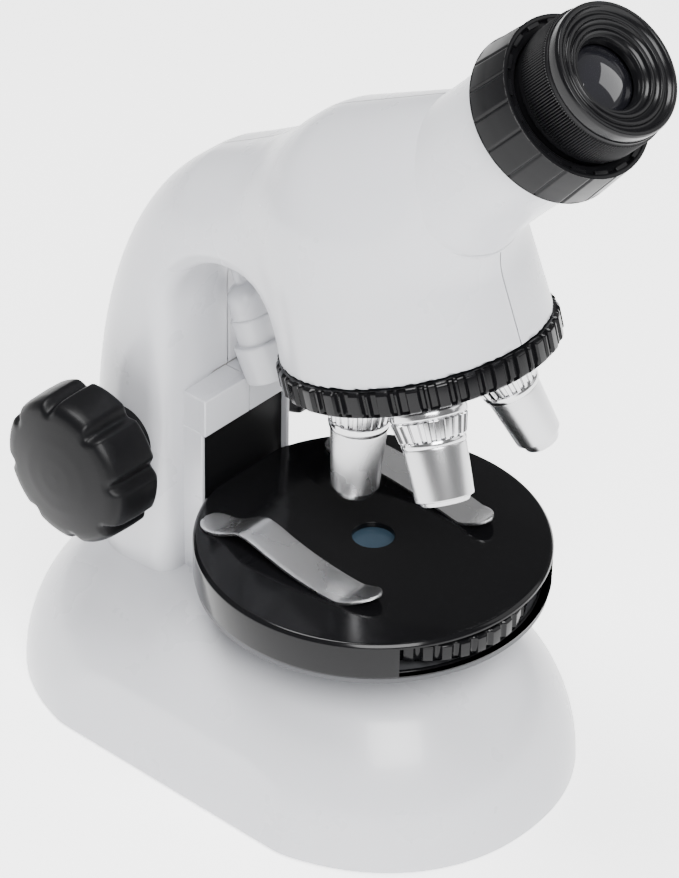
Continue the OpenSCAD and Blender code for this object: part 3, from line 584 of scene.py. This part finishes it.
ENDS = [(70.7, 86.8, 88.7), (66.1, 78.0, 79.1), (68.5, 82.4, 84.6)]
RADII = [(6.6, 5.6), (7.1, 6.6), (6.4, 5.5)]
COLLARS = [(8.6, 7.0), (8.7, 7.2), (8.6, 6.9)]
NAMES = ["high", "low", "mid"]
for i in range(3):
    M = objective_frame(i)
    tc, tb, tn = ENDS[i]
    r1, r2 = RADII[i]
    c1, c2 = COLLARS[i]
    L = tc - SEAT
    prof = rounded([(7.6, -57.4), (c1 - 0.2, -57.6), (c1, -SEAT), (c1, -SEAT - 0.16 * L),
                    (c1 - 0.45, -SEAT - 0.2 * L), (c1 - 0.1, -SEAT - 0.24 * L),
                    (c2 + 0.35, -tc + 0.22 * L), (c2, -tc + 0.18 * L),
                    (c2 + 0.15, -tc + 0.1 * L), (c2 - 0.05, -tc), (r1 - 0.4, -tc)], 0.25)
    rows = [k for k, (r, s) in enumerate(prof) if -tc + 0.26 * L < s < -SEAT - 0.26 * L or
            abs(s + SEAT + 0.24 * L) < 0.05 * L or abs(s + tc - 0.22 * L) < 0.05 * L]

    def ribs(a, k, rows=rows):
        if k not in rows:
            return 0 * a
        u = (a * 22 / (2 * math.pi)) % 1.0
        return np.interp(u, [0, 0.12, 0.5, 0.62, 1.0], [-0.55, 0, 0, -0.55, -0.55])
    finish_piece(lathe("collar_%s" % NAMES[i], prof, M, 660, ribs, sharp=math.radians(40)),
                 "chrome", "turret", *(["objective_collars"] if i == 0 else []))
    prof = rounded([(r1 - 0.8, -tc + 0.3), (r1, -tc), (r1 * 0.985 + r2 * 0.015, -tc - 0.6), (r2, -tb + 0.2),
                    (r2 - 0.2, -tb), (r2 - 0.75, -tb - 0.05), (r2 - 0.9, -tb - 0.3), (r2 - 1.3, -tn),
                    (2.6, -tn),
                    (2.2, -tn + 0.7), (2.1, -tn + 2.0)], 0.22)
    finish_piece(lathe("barrel_%s" % NAMES[i], prof, M, 128), "satin_aluminium", "turret",
                 "%s_power_objective" % NAMES[i])
    prof = [(0.001, -tn + 0.35), (1.2, -tn + 0.45), (2.15, -tn + 0.8), (2.15, -tn + 1.9), (0.001, -tn + 1.9)]
    # the front lens is drawn opaque and near black, painted shade for the barrel's interior behind it
    finish_piece(lathe("lens_%s" % NAMES[i], prof, M, 48), "lens", "turret",
                 *(["objective_lenses"] if i == 0 else []), look="glass_over_painted_shade")

# ---------------------------------------------------------------- focus knobs

KNOB = rounded([(6.4, 0.6), (13.6, 0.5), (17.4, 0.0), (18.6, 0.9), (18.7, 5.0), (18.5, 10.6), (18.0, 12.6),
                (16.9, 13.9), (15.2, 14.5), (13.0, 14.9), (9.0, 15.5), (4.5, 15.85), (0.001, 15.95)], 1.0, 5)


def lobes(a, i):
    r, s = KNOB[i]
    if r < 14.4:
        return 0 * a
    u = (a * 8 / (2 * math.pi)) % 1.0
    d = np.minimum(u, 1 - u)
    depth = 1.7 * min(1.0, (r - 14.4) / 3.6)
    return -depth * (np.cos(np.clip(d / 0.2, 0, 1) * math.pi) * 0.5 + 0.5)


for side, name in ((-1, "left"), (1, "right")):
    M = (place(side * 29.9, SHAFT_Y, SHAFT_Z) @ Matrix.Rotation(side * math.pi / 2, 4, "Y")
         @ Matrix.Rotation(0.22, 4, "Z"))
    o = lathe("knob_%s" % name, KNOB, M, 384, lobes, sharp=math.radians(50))
    finish_piece(o, "knob_plastic", "focus_drive", "%s_focus_knob" % name)

# ---------------------------------------------------------------- stage

Z0 = STAGE_TOP
PLATE = rounded([(5.7, Z0 - 1.6), (5.0, Z0 - 1.6), (5.0, Z0), (41.2, Z0), (42.0, Z0 - 0.8), (42.0, Z0 - 9.2),
                 (41.6, Z0 - 9.7), (39.5, Z0 - 9.7), (39.5, Z0 - 2.5), (9.0, Z0 - 2.5),
                 (5.9, Z0 - 2.5)], 0.35)
stage = lathe("stage_disc", PLATE, SHIFT, 256)
cut = box_piece("cut_back", -50, 50, 39.6, 60, 40, 70, 0)


def slot_arc(r, a0=math.radians(-131), a1=math.radians(-57), steps=24):
    """Points of the arc over which the rim is open for the wheel."""
    turns = [a0 + (a1 - a0) * k / steps for k in range(steps + 1)]
    return [(r * math.cos(a), r * math.sin(a)) for a in turns]


ring = slot_arc(60) + slot_arc(20)[::-1]
n = len(ring)
vs = [(x, y, z) for z in (Z0 - 9.0, Z0 - 1.3) for x, y in ring]
fs = [tuple(range(n - 1, -1, -1)), tuple(range(n, 2 * n))]
fs += [(k, (k + 1) % n, n + (k + 1) % n, n + k) for k in range(n)]
slot_cut = new_object("cut_slot", vs, fs, SHIFT, smooth=False)


def boolean(o, other, op="DIFFERENCE"):
    m = o.modifiers.new("cut", "BOOLEAN")
    m.operation, m.solver, m.object = op, "EXACT", other
    bpy.context.view_layer.update()
    dg = bpy.context.evaluated_depsgraph_get()
    me = bpy.data.meshes.new_from_object(o.evaluated_get(dg))
    o.modifiers.clear()
    o.data = me
    bpy.data.objects.remove(other)
    return o


stage = boolean(stage, slot_cut)
stage = boolean(stage, cut)
stage.data.set_sharp_from_angle(angle=math.radians(30))
finish_piece(stage, "gloss_black", "stage", "stage_plate")


def wheel_grip(a, i):
    r, s = WHEEL[i]
    if r < 24.2:
        return 0 * a
    return -1.0 * np.maximum(0, np.cos(a * 36)) ** 0.6 * 0.9


WHEEL = rounded([(2.1, 53.4), (24.4, 53.4), (25.2, 54.0), (25.2, 57.8), (24.4, 58.4), (22.8, 58.4),
                 (22.7, 55.4), (4.0, 55.4), (4.0, 58.4), (2.1, 58.4)], 0.3)
WHEEL_AXIS = SHIFT @ Matrix.Translation((-3 * MM, -16.5 * MM, 0))
finish_piece(lathe("wheel", WHEEL, WHEEL_AXIS, 720, wheel_grip, sharp=math.radians(50)),
             "gloss_black", "diaphragm", "diaphragm_wheel")


def smooth_line(points, n=6):
    """Catmull-Rom through points."""
    p = [points[0]] + list(points) + [points[-1]]
    out = []
    for k in range(1, len(p) - 2):
        for j in range(n):
            t = j / n
            out.append(tuple(0.5 * ((2 * p[k][m]) + (-p[k - 1][m] + p[k + 1][m]) * t
                                    + (2 * p[k - 1][m] - 5 * p[k][m] + 4 * p[k + 1][m] - p[k + 2][m]) * t * t
                                    + (-p[k - 1][m] + 3 * p[k][m] - 3 * p[k + 1][m] + p[k + 2][m]) * t ** 3)
                             for m in range(len(p[0]))))
    out.append(tuple(points[-1]))
    return out


def clip(name, side, node):
    # rows of the left clip, mirrored for the right: y, outer edge x, inner edge x, height above the stage
    rows = [(32.9, -22.0, -21.6, 0.5), (32.4, -24.0, -19.7, 0.45), (31.0, -25.3, -18.4, 0.4),
            (29.0, -25.8, -17.8, 0.4), (26.6, -25.4, -17.3, 0.5), (24.0, -24.9, -16.6, 1.4),
            (21.0, -24.9, -16.0, 3.0), (18.5, -25.1, -15.8, 3.7), (15.0, -25.4, -16.0, 3.5),
            (9.0, -26.0, -16.6, 2.6), (2.0, -26.4, -16.9, 1.6), (-5.0, -26.3, -16.9, 0.8),
            (-10.0, -25.9, -16.6, 0.3), (-12.0, -25.5, -16.4, 0.35), (-14.5, -24.7, -16.4, 1.2),
            (-16.8, -23.3, -16.9, 2.1), (-18.2, -21.8, -17.9, 2.7), (-18.9, -20.3, -19.2, 2.9)]
    rows = smooth_line(rows, 5)
    cols = 9
    verts = []
    for y, xl, xr, z in rows:
        for j in range(cols):
            t = j / (cols - 1)
            verts.append((-side * (xl + (xr - xl) * t), y, Z0 + 0.05 + z))
    faces = grid_faces(len(rows), cols, closed=False)
    if side > 0:
        faces = [f[::-1] for f in faces]
    o = new_object(name, verts, faces, SHIFT, sharp=None)
    s = o.modifiers.new("thick", "SOLIDIFY")
    s.thickness, s.offset = 0.7 * MM, 0.0
    b = o.modifiers.new("bevel", "BEVEL")
    b.width, b.segments, b.limit_method, b.angle_limit = 0.2 * MM, 3, "ANGLE", math.radians(50)
    finish_piece(o, "chrome", "%s_clip" % ("left" if side < 0 else "right"), node, look="clip_steel")
    pin = lathe(name + "_pin", rounded([(2.0, Z0 - 7), (2.0, Z0 + 0.3), (0.001, Z0 + 0.3)], 0.2),
                SHIFT @ Matrix.Translation((side * 22 * MM, 29 * MM, 0)), 48)
    finish_piece(pin, "chrome", "%s_clip" % ("left" if side < 0 else "right"))


clip("clip_left", -1, "left_stage_clip")
clip("clip_right", 1, "right_stage_clip")

# ---------------------------------------------------------------- lamp over the stage

LAMPS = rounded([(2.0, 2.2), (4.6, 2.0), (4.7, 0.1), (5.2, 0.0), (5.5, 0.3), (6.1, 9.0), (5.85, 9.5),
                 (4.75, 9.6), (4.75, 9.9), (4.95, 15.4), (4.75, 15.8), (4.5, 15.9), (4.4, 19.6)]
                + [(4.4 * math.cos(t), 19.6 + 4.6 * math.sin(t)) for t in np.linspace(0.15, 1.2, 8)]
                + [(1.4, 24.4), (1.4, 33.0), (0.6, 34.0)], 0.22)
finish_piece(lathe("lamp", LAMPS, LAMP, 96), "white_plastic", "stand", "top_lamp_housing")

# ---------------------------------------------------------------- the rest keeps the CAD's own form

slots = {s["node"]: s["material_slot"] for s in frame["record"]["subparts"]}
for name, o in frame["nodes"].items():
    o.data.materials.clear()
    o.data.materials.append(MATS[slots[name]])

# ---------------------------------------------------------------- floor, light and camera

bpy.ops.mesh.primitive_plane_add(size=8, location=(0, 0, 0))
floor = bpy.context.active_object
floor.name = "floor"
fm = bpy.data.materials.new("floor")
fm.use_nodes = True
paint = fm.node_tree.nodes["Principled BSDF"].inputs
paint["Base Color"].default_value = (0.96, 0.96, 0.96, 1)
paint["Roughness"].default_value = 0.9
paint["Emission Color"].default_value = (1, 1, 1, 1)
paint["Emission Strength"].default_value = 1.7
floor.data.materials.append(fm)

world = bpy.data.worlds.new("studio")
bpy.context.scene.world = world
world.use_nodes = True
bg = world.node_tree.nodes["Background"]
bg.inputs["Color"].default_value = (1.0, 1.0, 1.0, 1)
bg.inputs["Strength"].default_value = 0.32

MID = Vector((0, -0.001, 0.083))


def softbox(name, loc, size, power, target=MID):
    l = bpy.data.lights.new(name, "AREA")
    l.energy = power
    l.size = size
    o = bpy.data.objects.new(name, l)
    bpy.context.scene.collection.objects.link(o)
    o.location = loc
    o.rotation_euler = (target - Vector(loc)).to_track_quat("-Z", "Y").to_euler()
    return o


softbox("key", (-0.60, -0.75, 1.0), 0.75, 38.0)
softbox("fill", (0.9, -0.8, 0.75), 0.9, 6.0)
softbox("top", (-0.1, 0.25, 1.2), 0.5, 20.0)

# the camera's angles in degrees, its distance in m, its lens and sensor in mm
az, el, roll = math.radians(-49.317), math.radians(34.794), math.radians(1.055)
CAMERA_DISTANCE, CAMERA_LENS, SENSOR = 0.840, 149.4984, 36.0
back = Vector((math.sin(az) * math.cos(el), -math.cos(az) * math.cos(el), math.sin(el)))
right = Vector((0, 0, 1)).cross(back).normalized()
up = back.cross(right)
c, s = math.cos(roll), math.sin(roll)
right2, up2 = c * right + s * up, c * up - s * right
cam = bpy.data.cameras.new("camera")
co = bpy.data.objects.new("camera", cam)
bpy.context.scene.collection.objects.link(co)
target = Vector((0, (10.90 + DY) * MM, 83.11 * MM))
m = Matrix((right2, up2, back)).transposed().to_4x4()
m.translation = target + back * CAMERA_DISTANCE
co.matrix_world = m
cam.sensor_fit = "AUTO"
cam.sensor_width = SENSOR
cam.lens = CAMERA_LENS
cam.clip_start, cam.clip_end = 0.01, 20
bpy.context.scene.camera = co
